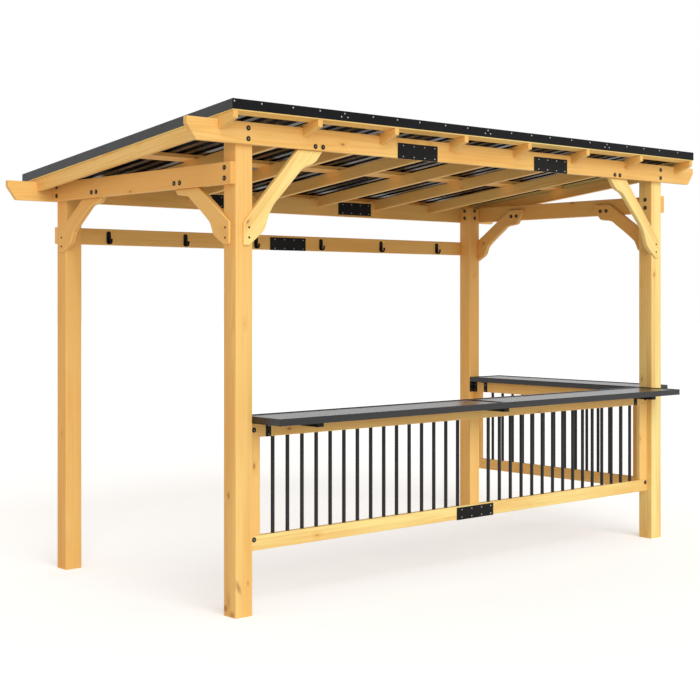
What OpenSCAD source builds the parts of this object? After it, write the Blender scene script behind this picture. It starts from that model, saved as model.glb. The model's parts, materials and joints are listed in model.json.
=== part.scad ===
// Free-standing lean-to grill gazebo: four posts, a single-slope ribbed metal roof
// on notched rafters, curved knee braces, a hook rail and an L-shaped bar.
// Millimetres, +Z up, front towards -Y, origin at the bottom centre of the whole.

/* [Frame] */
// Side of the square posts
post_w = 97; // [80:1:110]
// Length of the frame along the front, over the posts
frame_l = 3274; // [3200:2:3400]
// Depth of the frame from front to back, over the posts
frame_d = 1626; // [1560:1:1700]
// Top of the front posts above the ground
front_post_h = 2279; // [2240:1:2284]
// Top of the rear posts above the ground
rear_post_h = 2098; // [2060:1:2104]
// Chamfer on the long edges of the posts
edge_ease = 4; // [1:0.5:8]

/* [Beams] */
// Height of every beam
beam_h = 103; // [95:1:110]
// Thickness of every beam
beam_t = 30; // [26:1:34]
// Underside of the front beam above the ground
front_beam_z = 2187; // [2170:1:2195]
// Underside of the back and side beams above the ground
low_beam_z = 2003; // [1990:1:2010]
// How far the front and back beams pass the posts at each end
beam_over = 294; // [260:1:330]
// Upright part of a cut beam end
end_upright = 33; // [20:1:60]
// How far a beam end is cut back at its underside
end_cut = 52; // [30:1:70]
// Length of the middle piece of each spliced beam
beam_middle_l = 1048; // [900:2:1200]
// How far that piece sits to the right of the middle
splice_shift = 28; // [-40:1:40]

/* [Roof] */
// How far the roof passes the posts at each side
roof_side = 129; // [125:1:140]
// How far the roof passes the posts at the front
roof_front = 147; // [140:1:160]
// How far the roof passes the posts at the back
roof_back = 153; // [145:1:165]
// Highest edge of the roof above the ground
roof_top = 2371; // [2368:1:2380]
// Fall of the roof from its front edge to its back edge
roof_fall = 214; // [205:1:220]
// Number of rafters
rafter_count = 8; // [6:1:10]
// Thickness of a rafter
rafter_t = 27; // [22:1:32]
// Upright depth of a rafter
rafter_h = 67; // [60:1:76]
// Upright depth of a rafter at the end of its tail
tail_h = 33; // [28:1:45]
// Width of the purlins at the front and back edges
edge_purlin_w = 78; // [60:1:100]
// Width of the middle purlin
mid_purlin_w = 98; // [80:1:110]
// Thickness of a purlin
purlin_t = 20; // [16:1:24]
// How far the middle purlin sits behind the middle of the roof
mid_purlin_back = 90; // [-60:1:120]
// Height of the folded metal trim round the roof
trim_h = 47; // [40:1:52]
// Width of the trim's top flange
trim_flange = 40; // [30:1:60]
// Thickness of the folded metal
metal_t = 2; // [1.5:0.5:3]
// Number of roof sheets side by side
sheet_count = 4; // [3:1:5]
// Ribs on one roof sheet
ribs_per_sheet = 10; // [8:1:12]

/* [Braces] */
// Thickness of a knee brace
brace_t = 30; // [26:1:34]
// How far the foot of a brace stands proud of its post
brace_proud = 12; // [8:1:16]
// Overlap of a brace on its post
brace_lap = 59; // [50:1:64]
// Length of the upright end of a brace on its post
brace_foot = 106; // [90:1:115]
// Length of the level end of a brace behind its beam
brace_head = 122; // [105:1:130]
// Reach of a front brace below its beam
front_brace_drop = 466; // [440:1:480]
// Reach of a front brace along its beam
front_brace_run = 434; // [420:1:450]
// Height of a front brace behind its beam
front_brace_rise = 50; // [45:1:60]
// Reach of a side brace below its beam
side_brace_drop = 276; // [260:1:290]
// Reach of a side brace along its beam
side_brace_run = 413; // [400:1:430]
// Height of a side brace behind its beam
side_brace_rise = 72; // [60:1:80]

/* [Hook rail] */
// Underside of the hook rail above the ground
hook_rail_z = 1774; // [1740:1:1800]
// Height of the hook rail
hook_rail_h = 91; // [84:1:96]
// Thickness of the hook rail
hook_rail_t = 26; // [22:1:30]
// Number of coat hooks
hook_count = 6; // [4:2:8]
// Distance between coat hooks
hook_pitch = 524; // [400:1:540]
// How far the hooks sit below the middle of the rail
hook_drop = 4; // [0:1:6]
// How far the joint of the hook rail sits from the middle, to the left
hook_joint = 9; // [0:1:20]

/* [Bar] */
// Top of the counters above the ground
counter_z = 927; // [900:1:960]
// Thickness of a counter
counter_t = 33; // [26:1:36]
// How far a counter stands out from the posts
counter_out = 204; // [180:1:230]
// Height of the rails that carry the balusters
rail_h = 70; // [60:1:80]
// Thickness of those rails
rail_t = 30; // [26:1:34]
// Underside of the bottom rails above the ground
bottom_rail_z = 293; // [250:1:340]
// Width of the stiles between the rails
stile_w = 72; // [60:1:80]
// Thickness of those stiles
stile_t = 25; // [20:1:28]
// Diameter of a baluster
baluster_d = 19; // [14:1:22]
// Balusters in each half of the front
front_balusters_half = 15; // [12:1:15]
// Distance between two balusters of the front bar
front_baluster_pitch = 90.2; // [85:0.1:92]
// Balusters in the side
side_balusters_n = 13; // [10:1:14]
// Distance between two balusters of the side bar
side_baluster_pitch = 90.7; // [85:0.1:93]

/* [Metalwork] */
// Length of a splice plate
plate_l = 285; // [240:1:300]
// Thickness of a splice plate
plate_t = 3; // [2:0.5:4]
// Height of a splice plate on a beam
beam_plate_h = 80; // [70:1:90]
// Height of a splice plate on a rail
rail_plate_h = 66; // [60:1:70]
// How far the plates of the front beam, the hook rail and the bar reach below their boards
plate_hang = 3; // [0:0.5:6]
// Width of a counter arm
arm_w = 39; // [30:1:44]
// Depth of a counter arm
arm_h = 18; // [12:1:20]
// Width of an angle strap under a counter
strap_w = 30; // [20:1:36]
// Height of an angle strap
strap_h = 70; // [50:1:70]

/* [Hidden] */

// Colours
pine = "#F0BC6C";
black_metal = "#2A2A2C";
counter_grey = "#4A4B4D";

// Places in plan: half lengths along X, and the faces of the frame along Y
half_l = frame_l / 2;
half_beam = half_l + beam_over;
half_roof = half_l + roof_side;
front_y = (counter_out - frame_d - roof_back) / 2;
back_y = front_y + frame_d;
inner_x = half_l - post_w;
eave_y = front_y - roof_front;
rear_eave_y = back_y + roof_back;

// Roof layers, measured upright below the roof's top line
slope = roof_fall / (rear_eave_y - eave_y);
purlin_show = 5;
rafter_drop = trim_h + purlin_show;
sheet_h = rafter_drop - purlin_t - metal_t;
cover = half_roof - metal_t;
verge_lip = 6;
rafter_pitch = 2 * (cover - verge_lip - rafter_t / 2) / (rafter_count - 1);
tail_gap = 4;
taper_l = 130;
slack = 1;

// Cross-lapped seats: each rafter and each beam gives up part of its depth
front_seat = front_beam_z + beam_h - 26;
back_seat = low_beam_z + beam_h - 24;

// Bar
counter_bottom = counter_z - counter_t;
top_rail_z = counter_bottom - rail_h;
baluster_z = bottom_rail_z + rail_h;
baluster_l = top_rail_z - baluster_z;
rail_y = front_y + (post_w - rail_t) / 2;
side_rail_x = half_l - (post_w + rail_t) / 2;
rim_w = 10;
rim_h = 4;

function roof_z(y) = roof_top - slope * (y - eave_y);
function splice_x(side) = splice_shift + side * beam_middle_l / 2;
function rafter_x(i) = (i - (rafter_count - 1) / 2) * rafter_pitch;

// A smooth line through points, each span a cubic that follows its neighbours
function through(p, n = 4) = concat(
  [for (i = [0:len(p) - 2], k = [0:n - 1])
    let (t = k / n, a = p[max(i - 1, 0)], b = p[i], c = p[i + 1], d = p[min(i + 2, len(p) - 1)])
    (2 * b + (c - a) * t + (2 * a - 5 * b + 4 * c - d) * t * t + (3 * b - a - 3 * c + d) * t * t * t) / 2],
  [p[len(p) - 1]]
);

// An outline drawn in Y and Z, extruded along X from x0 to x1
module along_x(x0, x1) {
  translate([x0, 0, 0]) rotate([90, 0, 90]) linear_extrude(x1 - x0) children();
}

// An outline drawn in X and Z, extruded along Y from y0 to y1
module along_y(y0, y1) {
  translate([0, y1, 0]) rotate([90, 0, 0]) linear_extrude(y1 - y0) children();
}

// A band of the roof's slope between two depths, from y0 to y1
module roof_band(y0, y1, top, bottom) {
  polygon([
    [y0, roof_z(y0) - top], [y0, roof_z(y0) - bottom],
    [y1, roof_z(y1) - bottom], [y1, roof_z(y1) - top]
  ]);
}

// A square post with eased edges, its corner nearest the origin of its plan at x, y
module post(x, y, h) {
  e = edge_ease;
  w = post_w;
  color(pine) translate([x, y, 0]) linear_extrude(h)
    polygon([[e, 0], [w - e, 0], [w, e], [w, w - e], [w - e, w], [e, w], [0, w - e], [0, e]]);
}

module post_front_left() { post(-half_l, front_y, front_post_h); }
module post_front_right() { post(inner_x, front_y, front_post_h); }
module post_rear_left() { post(-half_l, back_y - post_w, rear_post_h); }
module post_rear_right() { post(inner_x, back_y - post_w, rear_post_h); }

// Slots in a beam's top edge for the rafters
module rafter_slots(y, seat, top) {
  for (i = [0:rafter_count - 1])
    translate([rafter_x(i) - rafter_t / 2, y - slack, seat])
      cube([rafter_t, beam_t + 2 * slack, top - seat + slack]);
}

// The two end pieces of a spliced beam, with their shaped outer ends
module beam_ends(y, z, seat) {
  top = z + beam_h;
  color(pine) difference() {
    for (side = [-1, 1])
      along_y(y, y + beam_t) polygon([
        [splice_x(side), z], [side * (half_beam - end_cut), z],
        [side * half_beam, top - end_upright], [side * half_beam, top], [splice_x(side), top]
      ]);
    rafter_slots(y, seat, top);
  }
}

module beam_middle(y, z, seat) {
  color(pine) difference() {
    translate([splice_x(-1), y, z]) cube([beam_middle_l, beam_t, beam_h]);
    rafter_slots(y, seat, z + beam_h);
  }
}

module front_beam_ends() { beam_ends(front_y - beam_t, front_beam_z, front_seat); }
module front_beam_middle() { beam_middle(front_y - beam_t, front_beam_z, front_seat); }
module back_beam_ends() { beam_ends(back_y, low_beam_z, back_seat); }
module back_beam_middle() { beam_middle(back_y, low_beam_z, back_seat); }

module side_beam(x) {
  color(pine) translate([x, front_y, low_beam_z]) cube([beam_t, frame_d, beam_h]);
}

module side_beam_left() { side_beam(-half_l - beam_t); }
module side_beam_right() { side_beam(half_l); }

// The curved lower edge of a brace: points from the corner of its foot, then points back from the
// corner of its head. The front braces stand steeper than the side ones.
front_foot_edge = [[32, 0], [98, 52], [116, 70], [131, 97], [139, 125], [156, 160], [181, 199], [219, 238]];
front_head_edge = [[202, 205], [163, 165], [136, 140], [113, 128], [77, 115], [52, 98], [0, 32]];
side_foot_edge = [[46, 0], [110, 36], [128, 52], [138, 73], [148, 94], [162, 112], [226, 162]];
side_head_edge = [[178, 138], [150, 117], [124, 108], [80, 103], [52, 98], [0, 32]];

// A knee brace in its own plane: u runs along the beam from the post's inner face, v up from
// the beam's underside. Its foot laps the post's face and its head laps the beam's back.
module brace_outline(run, drop, rise, foot_edge, head_edge) {
  foot = [-brace_lap, -drop];
  head = [run, rise];
  edge = concat([for (q = foot_edge) foot + q], [for (q = head_edge) head - q]);
  last = len(edge) - 1;
  polygon(concat(
    [foot + [0, brace_foot], foot, edge[0]],
    through([for (i = [1:last - 1]) edge[i]]),
    [edge[last], head, head - [brace_head, 0]]
  ));
}

// The post's inner face is at u = 0 and its outer face at y = 0
module brace(run, drop, rise, foot_edge, head_edge) {
  difference() {
    along_y(-brace_proud, brace_t - brace_proud) brace_outline(run, drop, rise, foot_edge, head_edge);
    translate([-brace_lap - slack, 0, -drop - slack])
      cube([brace_lap + slack, brace_t, drop + 2 * brace_lap]);
    translate([-brace_lap, -brace_proud - slack, 0])
      cube([run + 2 * brace_lap, brace_proud + slack, 2 * brace_lap]);
  }
}

module front_brace() {
  brace(front_brace_run, front_brace_drop, front_brace_rise, front_foot_edge, front_head_edge);
}

module side_brace() {
  rotate([0, 0, -90]) brace(side_brace_run, side_brace_drop, side_brace_rise, side_foot_edge, side_head_edge);
}

module front_braces() {
  color(pine) for (side = [0, 1])
    mirror([side, 0, 0]) translate([-inner_x, front_y, front_beam_z]) front_brace();
}

module side_braces() {
  color(pine) for (side = [0, 1]) mirror([side, 0, 0]) {
    translate([-half_l, back_y - post_w, low_beam_z]) side_brace();
    translate([-half_l, front_y + post_w, low_beam_z]) mirror([0, 1, 0]) side_brace();
  }
}

// A rafter: tapered at both tails and notched down over both beams
module rafter(i) {
  y0 = eave_y + tail_gap;
  y1 = rear_eave_y - tail_gap;
  x = rafter_x(i) - rafter_t / 2;
  low = rafter_drop + rafter_h;
  color(pine) difference() {
    along_x(x, x + rafter_t) polygon([
      [y0, roof_z(y0) - rafter_drop], [y0, roof_z(y0) - rafter_drop - tail_h],
      [y0 + taper_l, roof_z(y0 + taper_l) - low], [y1 - taper_l, roof_z(y1 - taper_l) - low],
      [y1, roof_z(y1) - rafter_drop - tail_h], [y1, roof_z(y1) - rafter_drop]
    ]);
    translate([x - slack, front_y - beam_t, front_seat - beam_h]) cube([rafter_t + 2 * slack, beam_t, beam_h]);
    translate([x - slack, back_y, back_seat - beam_h]) cube([rafter_t + 2 * slack, beam_t, beam_h]);
  }
}

// Flat boards across the rafters at the front edge, the middle and the back edge
mid_purlin_y = (eave_y + rear_eave_y - mid_purlin_w) / 2 + mid_purlin_back;
purlin_spans = [
  [eave_y + metal_t, eave_y + metal_t + edge_purlin_w],
  [mid_purlin_y, mid_purlin_y + mid_purlin_w],
  [rear_eave_y - metal_t - edge_purlin_w, rear_eave_y - metal_t]
];

module purlins() {
  color(pine) for (span = purlin_spans)
    along_x(-cover, cover) roof_band(span[0], span[1], rafter_drop - purlin_t, rafter_drop);
}

// Strips on the end rafters, between the purlins, that carry the side trim
module verge_battens() {
  color(pine) for (side = [0, 1], i = [0, 1])
    mirror([side, 0, 0]) along_x(cover - rafter_t, cover)
      roof_band(purlin_spans[i][1], purlin_spans[i + 1][0], rafter_drop - purlin_t, rafter_drop);
}

// One ribbed sheet, its ribs running down the slope
module roof_sheet(i) {
  sheet_w = 2 * cover / sheet_count;
  pitch = sheet_w / ribs_per_sheet;
  flank = 9;
  rib_top = 30;
  valley = (pitch - rib_top - 2 * flank) / 2;
  h = sheet_h - metal_t;
  line = [for (k = [0:ribs_per_sheet - 1]) each [
    [k * pitch, 0], [k * pitch + valley, 0], [k * pitch + valley + flank, h],
    [k * pitch + valley + flank + rib_top, h], [(k + 1) * pitch - valley, 0]
  ]];
  outline = concat(line, [[sheet_w, 0]]);
  y0 = eave_y + metal_t;
  run = rear_eave_y - metal_t - y0;
  over = [for (k = [len(outline) - 1:-1:0]) outline[k] + [0, metal_t]];
  color(black_metal) multmatrix([
    [1, 0, 0, -cover + i * sheet_w],
    [0, 1, 0, y0],
    [0, -slope, 1, roof_z(y0) - rafter_drop + purlin_t],
    [0, 0, 0, 1]
  ]) along_y(0, run) polygon(concat(outline, over));
}

// Folded trim: an upright leg outside the roof and a flange on top of the ribs
module eave_trim(y_out, y_in) {
  leg = y_out < y_in ? metal_t : -metal_t;
  a = min(y_out, y_out + leg);
  b = min(y_out + leg, y_in);
  color(black_metal) union() {
    along_x(-half_roof, half_roof) roof_band(a, a + metal_t, 0, trim_h);
    along_x(-half_roof + trim_flange, half_roof - trim_flange)
      roof_band(b, b + abs(y_in - y_out - leg), 0, metal_t);
  }
}

module roof_trim_front() { eave_trim(eave_y, eave_y + trim_flange); }
module roof_trim_back() { eave_trim(rear_eave_y, rear_eave_y - trim_flange); }

module roof_trim_sides() {
  y0 = eave_y + metal_t;
  y1 = rear_eave_y - metal_t;
  color(black_metal) for (side = [0, 1]) mirror([side, 0, 0]) union() {
    along_x(half_roof - metal_t, half_roof) roof_band(y0, y1, 0, trim_h);
    along_x(half_roof - trim_flange, half_roof - metal_t) roof_band(y0, y1, 0, metal_t);
  }
}

module hook_rail(x0, x1) {
  color(pine) translate([x0, back_y, hook_rail_z]) cube([x1 - x0, hook_rail_t, hook_rail_h]);
}

module hook_rail_left() { hook_rail(-half_l, -hook_joint); }
module hook_rail_right() { hook_rail(-hook_joint, half_l); }

// A hook: an oblong back plate with a round bar that drops, turns up again and ends in a ball
module coat_hook() {
  plate_w = 28;
  plate_h = 72;
  bar_d = 11;
  bend = 14;
  shank = 16;
  rise = 6;
  low = 18;
  set_in = 2;
  bar_y = -plate_t - set_in;
  straight = plate_h - plate_w;
  translate([-plate_w / 2, -plate_t, -straight / 2]) cube([plate_w, plate_t, straight]);
  for (side = [-1, 1])
    translate([0, 0, side * straight / 2]) rotate([90, 0, 0]) cylinder(d = plate_w, h = plate_t, $fn = 24);
  translate([0, bar_y, -low]) cylinder(d = bar_d, h = shank, $fn = 24);
  translate([0, bar_y, shank - low]) sphere(d = bar_d, $fn = 24);
  translate([0, bar_y - bend, -low]) rotate([90, 0, 90]) rotate([0, 0, 180])
    rotate_extrude(angle = 180, $fn = 24) translate([bend, 0]) circle(d = bar_d, $fn = 24);
  translate([0, bar_y - 2 * bend, -low]) cylinder(d = bar_d, h = rise, $fn = 24);
  translate([0, bar_y - 2 * bend, rise - low]) sphere(d = bar_d * 1.2, $fn = 24);
}

module coat_hooks() {
  color(black_metal) for (i = [0:hook_count - 1])
    translate([(i - (hook_count - 1) / 2) * hook_pitch, back_y, hook_rail_z + hook_rail_h / 2 - hook_drop])
      coat_hook();
}

// A flat plate across a splice, its back face at y
module splice_plate(x, y, z, h) {
  translate([x - plate_l / 2, y - plate_t, z - h / 2]) cube([plate_l, plate_t, h]);
}

module splice_plates() {
  color(black_metal) {
    for (side = [-1, 1]) {
      splice_plate(splice_x(side), front_y - beam_t, front_beam_z + beam_plate_h / 2 - plate_hang, beam_plate_h);
      splice_plate(splice_x(side), back_y, low_beam_z + beam_h / 2, beam_plate_h);
    }
    splice_plate(-hook_joint, back_y, hook_rail_z + beam_plate_h / 2 - plate_hang / 2, beam_plate_h);
    splice_plate(0, rail_y, bottom_rail_z + rail_plate_h / 2 - plate_hang, rail_plate_h);
  }
}

module front_top_rail() {
  color(pine) translate([-inner_x, rail_y, top_rail_z]) cube([2 * inner_x, rail_t, rail_h]);
}

module front_bottom_rail(x) {
  color(pine) translate([x, rail_y, bottom_rail_z]) cube([inner_x, rail_t, rail_h]);
}

module front_bottom_rail_left() { front_bottom_rail(-inner_x); }
module front_bottom_rail_right() { front_bottom_rail(0); }

module front_stiles() {
  y = front_y + (post_w - stile_t) / 2;
  color(pine) for (x = [-inner_x, -stile_w / 2, inner_x - stile_w])
    translate([x, y, baluster_z]) cube([stile_w, stile_t, baluster_l]);
}

// Places of n things in a row about its middle
function row(middle, n, pitch) = [for (k = [0:n - 1]) middle + (k - (n - 1) / 2) * pitch];

module baluster() {
  translate([0, 0, baluster_z]) cylinder(d = baluster_d, h = baluster_l, $fn = 32);
}

module front_balusters() {
  places = row((inner_x - stile_w / 2) / 2, front_balusters_half, front_baluster_pitch);
  color(black_metal) for (side = [-1, 1], x = places)
    translate([side * x, front_y + post_w / 2, 0]) baluster();
}

// A counter slab with a thin raised rim round its top
module counter(size) {
  translate([0, 0, counter_bottom]) difference() {
    cube([size[0], size[1], counter_t]);
    translate([rim_w, rim_w, counter_t - rim_h])
      cube([size[0] - 2 * rim_w, size[1] - 2 * rim_w, rim_h + slack]);
  }
}

module front_counter(x) {
  color(counter_grey) translate([x, front_y - counter_out, 0]) counter([inner_x, counter_out + post_w]);
}

module front_counter_left() { front_counter(-inner_x); }
module front_counter_right() { front_counter(0); }

// The side bar runs between the two right-hand posts
side_y0 = front_y + post_w;
side_y1 = back_y - post_w;

module side_rails() {
  color(pine) for (z = [bottom_rail_z, top_rail_z])
    translate([side_rail_x, side_y0, z]) cube([rail_t, side_y1 - side_y0, rail_h]);
}

module side_stiles() {
  x = half_l - (post_w + stile_t) / 2;
  color(pine) for (y = [side_y0, side_y1 - stile_w])
    translate([x, y, baluster_z]) cube([stile_t, stile_w, baluster_l]);
}

module side_balusters() {
  places = row((side_y0 + side_y1) / 2, side_balusters_n, side_baluster_pitch);
  color(black_metal) for (y = places) translate([half_l - post_w / 2, y, 0]) baluster();
}

module side_counter() {
  color(counter_grey) translate([inner_x, side_y0, 0]) counter([counter_out + post_w, side_y1 - side_y0]);
}

// An arm under a counter, from the rail towards the counter's outer edge along -Y
module counter_arm() {
  tip_gap = 8;
  translate([-arm_w / 2, tip_gap - counter_out, counter_bottom - arm_h])
    cube([arm_w, counter_out - tip_gap + (post_w - rail_t) / 2, arm_h]);
}

// An angle strap: one leg on the rail's face, one under the counter
module angle_strap(foot) {
  translate([-strap_w / 2, -plate_t, counter_bottom - strap_h]) cube([strap_w, plate_t, strap_h]);
  translate([-strap_w / 2, -foot, counter_bottom - plate_t]) cube([strap_w, foot, plate_t]);
}

// An angle in the corner between the side rail and a post, seen from the inside
module rail_angle() {
  leg = 40;
  gap = (post_w - rail_t) / 2;
  translate([-leg, -plate_t, top_rail_z]) cube([leg, plate_t, rail_h]);
  translate([-plate_t, -gap, top_rail_z]) cube([plate_t, gap, rail_h]);
}

module counter_brackets() {
  arm_in = 249;
  strap_in = 119;
  strap_foot = 60;
  side_middle = (side_y0 + side_y1) / 2;
  color(black_metal) {
    translate([0, front_y, 0]) {
      for (x = [arm_in - inner_x, 0, inner_x - arm_in]) translate([x, 0, 0]) counter_arm();
      for (x = [strap_in - inner_x, inner_x - strap_in])
        translate([x, (post_w - rail_t) / 2, 0]) angle_strap(strap_foot);
    }
    translate([half_l, 0, 0]) rotate([0, 0, 90])
      for (y = [side_y0 + arm_in, side_middle, side_y1 - arm_in]) translate([y, 0, 0]) counter_arm();
    translate([side_rail_x, 0, 0]) rotate([0, 0, -90])
      for (y = [side_y0 + strap_in, side_y1 - strap_in]) translate([-y, 0, 0]) angle_strap((post_w - rail_t) / 2);
    translate([side_rail_x, side_y1, 0]) rotate([0, 0, -90]) mirror([1, 0, 0]) rail_angle();
    translate([side_rail_x, side_y0, 0]) rotate([0, 0, -90]) rail_angle();
  }
}

post_front_left();
post_front_right();
post_rear_left();
post_rear_right();
front_beam_ends();
front_beam_middle();
back_beam_ends();
back_beam_middle();
side_beam_left();
side_beam_right();
front_braces();
side_braces();
for (i = [0:rafter_count - 1]) rafter(i);
purlins();
verge_battens();
for (i = [0:sheet_count - 1]) roof_sheet(i);
roof_trim_front();
roof_trim_back();
roof_trim_sides();
hook_rail_left();
hook_rail_right();
coat_hooks();
splice_plates();
front_top_rail();
front_bottom_rail_left();
front_bottom_rail_right();
front_stiles();
front_balusters();
front_counter_left();
front_counter_right();
side_rails();
side_stiles();
side_balusters();
side_counter();
counter_brackets();
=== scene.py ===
import json
import math
import random

import bmesh
import bpy
from mathutils import Matrix, Vector

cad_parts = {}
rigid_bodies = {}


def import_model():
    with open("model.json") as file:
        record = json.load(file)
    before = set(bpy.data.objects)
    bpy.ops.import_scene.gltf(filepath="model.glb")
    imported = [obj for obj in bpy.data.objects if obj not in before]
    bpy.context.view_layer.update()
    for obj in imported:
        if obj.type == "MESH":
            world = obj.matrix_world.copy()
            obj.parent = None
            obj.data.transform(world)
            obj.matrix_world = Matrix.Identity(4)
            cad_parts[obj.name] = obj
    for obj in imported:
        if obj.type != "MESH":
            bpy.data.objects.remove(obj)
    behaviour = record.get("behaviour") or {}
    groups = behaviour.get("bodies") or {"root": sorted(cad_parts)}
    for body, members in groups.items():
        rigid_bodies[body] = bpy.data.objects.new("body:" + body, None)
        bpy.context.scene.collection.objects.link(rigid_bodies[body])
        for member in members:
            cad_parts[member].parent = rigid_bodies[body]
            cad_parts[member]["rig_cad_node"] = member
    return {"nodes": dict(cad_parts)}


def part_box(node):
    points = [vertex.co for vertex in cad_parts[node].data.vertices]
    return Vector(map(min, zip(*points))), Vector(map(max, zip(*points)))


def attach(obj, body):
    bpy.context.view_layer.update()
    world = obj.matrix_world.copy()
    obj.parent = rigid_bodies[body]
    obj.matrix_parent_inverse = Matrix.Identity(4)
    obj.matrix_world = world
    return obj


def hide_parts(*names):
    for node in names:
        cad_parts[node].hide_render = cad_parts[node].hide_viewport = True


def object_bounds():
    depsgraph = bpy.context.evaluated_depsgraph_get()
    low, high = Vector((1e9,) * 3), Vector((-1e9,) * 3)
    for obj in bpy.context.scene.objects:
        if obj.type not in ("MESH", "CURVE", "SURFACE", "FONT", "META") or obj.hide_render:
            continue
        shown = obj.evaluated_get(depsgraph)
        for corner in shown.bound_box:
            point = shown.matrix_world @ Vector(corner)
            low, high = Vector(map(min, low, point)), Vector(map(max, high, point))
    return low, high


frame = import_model()
cad_low, cad_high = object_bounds()
scene = bpy.context.scene

# The view: a level camera at eye height, off the front left corner. The picture is shifted so that
# the horizon sits above its middle, which keeps the posts upright.
eye = Vector((-5.472, -5.889, 1.4835))
turn_to_right = math.radians(41.65)
film_width = 36
focal_length = 71.09
horizon_shift = -0.0761
camera_data = bpy.data.cameras.new("camera")
camera_data.sensor_width = film_width
camera_data.lens = focal_length
camera_data.shift_y = horizon_shift
camera = bpy.data.objects.new("camera", camera_data)
camera.location = eye
camera.rotation_euler = (math.radians(90), 0, -turn_to_right)
scene.collection.objects.link(camera)
scene.camera = camera
scene.view_settings.view_transform = "Standard"

# The surroundings: a plain pale floor under even light, a little warm, with one wide soft lamp from
# the front. Only what the camera and mirror-like surfaces see is lifted to white, so the floor keeps
# its shadow.
sky_strength = 0.53
sky_colour = (1.0, 0.955, 0.90, 1)
pure_white = (1, 1, 1, 1)
floor_pale = (0.95, 0.95, 0.95, 1)
floor_lift = 0.37
floor_size = 120
lamp_strength = 1.66
lamp_spread = math.radians(50)
lamp_direction = Vector((0.24, 0.86, -0.45))


def feed(tree, socket, value):
    """Links an input to another node's output, or sets it to a plain value."""
    if isinstance(value, bpy.types.NodeSocket):
        tree.links.new(value, socket)
    else:
        socket.default_value = value


def node(tree, kind, **inputs):
    """Adds a shader node and feeds its inputs by name."""
    made = tree.nodes.new(kind)
    for label, value in inputs.items():
        feed(tree, made.inputs[label.replace("_", " ")], value)
    return made


def math_node(tree, operation, first, second=0.0, third=0.0):
    """One arithmetic step, with sockets or plain numbers as its inputs."""
    made = tree.nodes.new("ShaderNodeMath")
    made.operation = operation
    for socket, value in zip(made.inputs, (first, second, third)):
        feed(tree, socket, value)
    return made.outputs[0]


def seen_directly(tree):
    """1 for rays that come from the camera, a reflection or a refraction, and 0 for lighting rays."""
    path = tree.nodes.new("ShaderNodeLightPath").outputs
    mirrored = math_node(tree, "MAXIMUM", path["Is Glossy Ray"], path["Is Transmission Ray"])
    return math_node(tree, "MAXIMUM", path["Is Camera Ray"], mirrored)


def empty_material(name):
    """A material with no nodes yet, and its node tree."""
    material = bpy.data.materials.new(name)
    material.use_nodes = True
    material.node_tree.nodes.clear()
    return material, material.node_tree


world = bpy.data.worlds.new("white_surroundings")
scene.world = world
world.use_nodes = True
sky_tree = world.node_tree
sky_tree.nodes.clear()
sky = node(sky_tree, "ShaderNodeBackground", Color=sky_colour, Strength=sky_strength)
white = node(sky_tree, "ShaderNodeBackground", Color=pure_white, Strength=1.0)
pick = node(sky_tree, "ShaderNodeMixShader", Fac=seen_directly(sky_tree))
sky_tree.links.new(sky.outputs[0], pick.inputs[1])
sky_tree.links.new(white.outputs[0], pick.inputs[2])
sky_end = sky_tree.nodes.new("ShaderNodeOutputWorld")
sky_tree.links.new(pick.outputs[0], sky_end.inputs["Surface"])

bpy.ops.object.select_all(action="DESELECT")
bpy.ops.mesh.primitive_plane_add(size=floor_size, location=(0, 0, 0))
floor = bpy.context.active_object
floor.name = "floor"
paint, ground = empty_material("pale_floor")
matt = node(ground, "ShaderNodeBsdfDiffuse", Color=floor_pale)
lift = math_node(ground, "MULTIPLY", seen_directly(ground), floor_lift)
glow = node(ground, "ShaderNodeEmission", Color=pure_white, Strength=lift)
total = ground.nodes.new("ShaderNodeAddShader")
ground.links.new(matt.outputs[0], total.inputs[0])
ground.links.new(glow.outputs[0], total.inputs[1])
ground_end = ground.nodes.new("ShaderNodeOutputMaterial")
ground.links.new(total.outputs[0], ground_end.inputs["Surface"])
floor.data.materials.append(paint)

lamp_data = bpy.data.lights.new("soft_front_light", "SUN")
lamp_data.energy = lamp_strength
lamp_data.angle = lamp_spread
lamp = bpy.data.objects.new("soft_front_light", lamp_data)
lamp.rotation_euler = lamp_direction.to_track_quat("-Z", "Y").to_euler()
scene.collection.objects.link(lamp)

# The posts: four planed softwood posts, just under a hundred millimetres square, stained a warm honey
# colour. They stand on their cut ends, and the beams, braces and rails are bolted or screwed to them. All
# the timber of the gazebo is the same, so its grain and its eased edges are made here.
honey_pale = (0.98, 0.810, 0.315, 1)
honey_amber = (0.92, 0.480, 0.125, 1)
honey_ring = (0.80, 0.395, 0.080, 1)
honey_fibre = (0.56, 0.225, 0.040, 1)
knot_brown = (0.22, 0.070, 0.017, 1)
knot_resin = (0.42, 0.155, 0.030, 1)
edge_wear_and_highlight = (0.98, 0.72, 0.28, 1)
palest_tints = (0.0, 0.03)
pale_tints = (0.0, 0.2)
honey_tints = (0.55, 0.7)
deep_tints = (0.7, 0.85)
amber_tints = (0.85, 1.0)
# Each post with its range of tints, and how much deeper its other sides are, as painted shade.
post_tints = (
    ("post_front_left", honey_tints, 0.22),
    ("post_front_right", palest_tints, 0.34),
    ("post_rear_left", deep_tints, 0.24),
    ("post_rear_right", amber_tints, 0.05))
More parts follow.
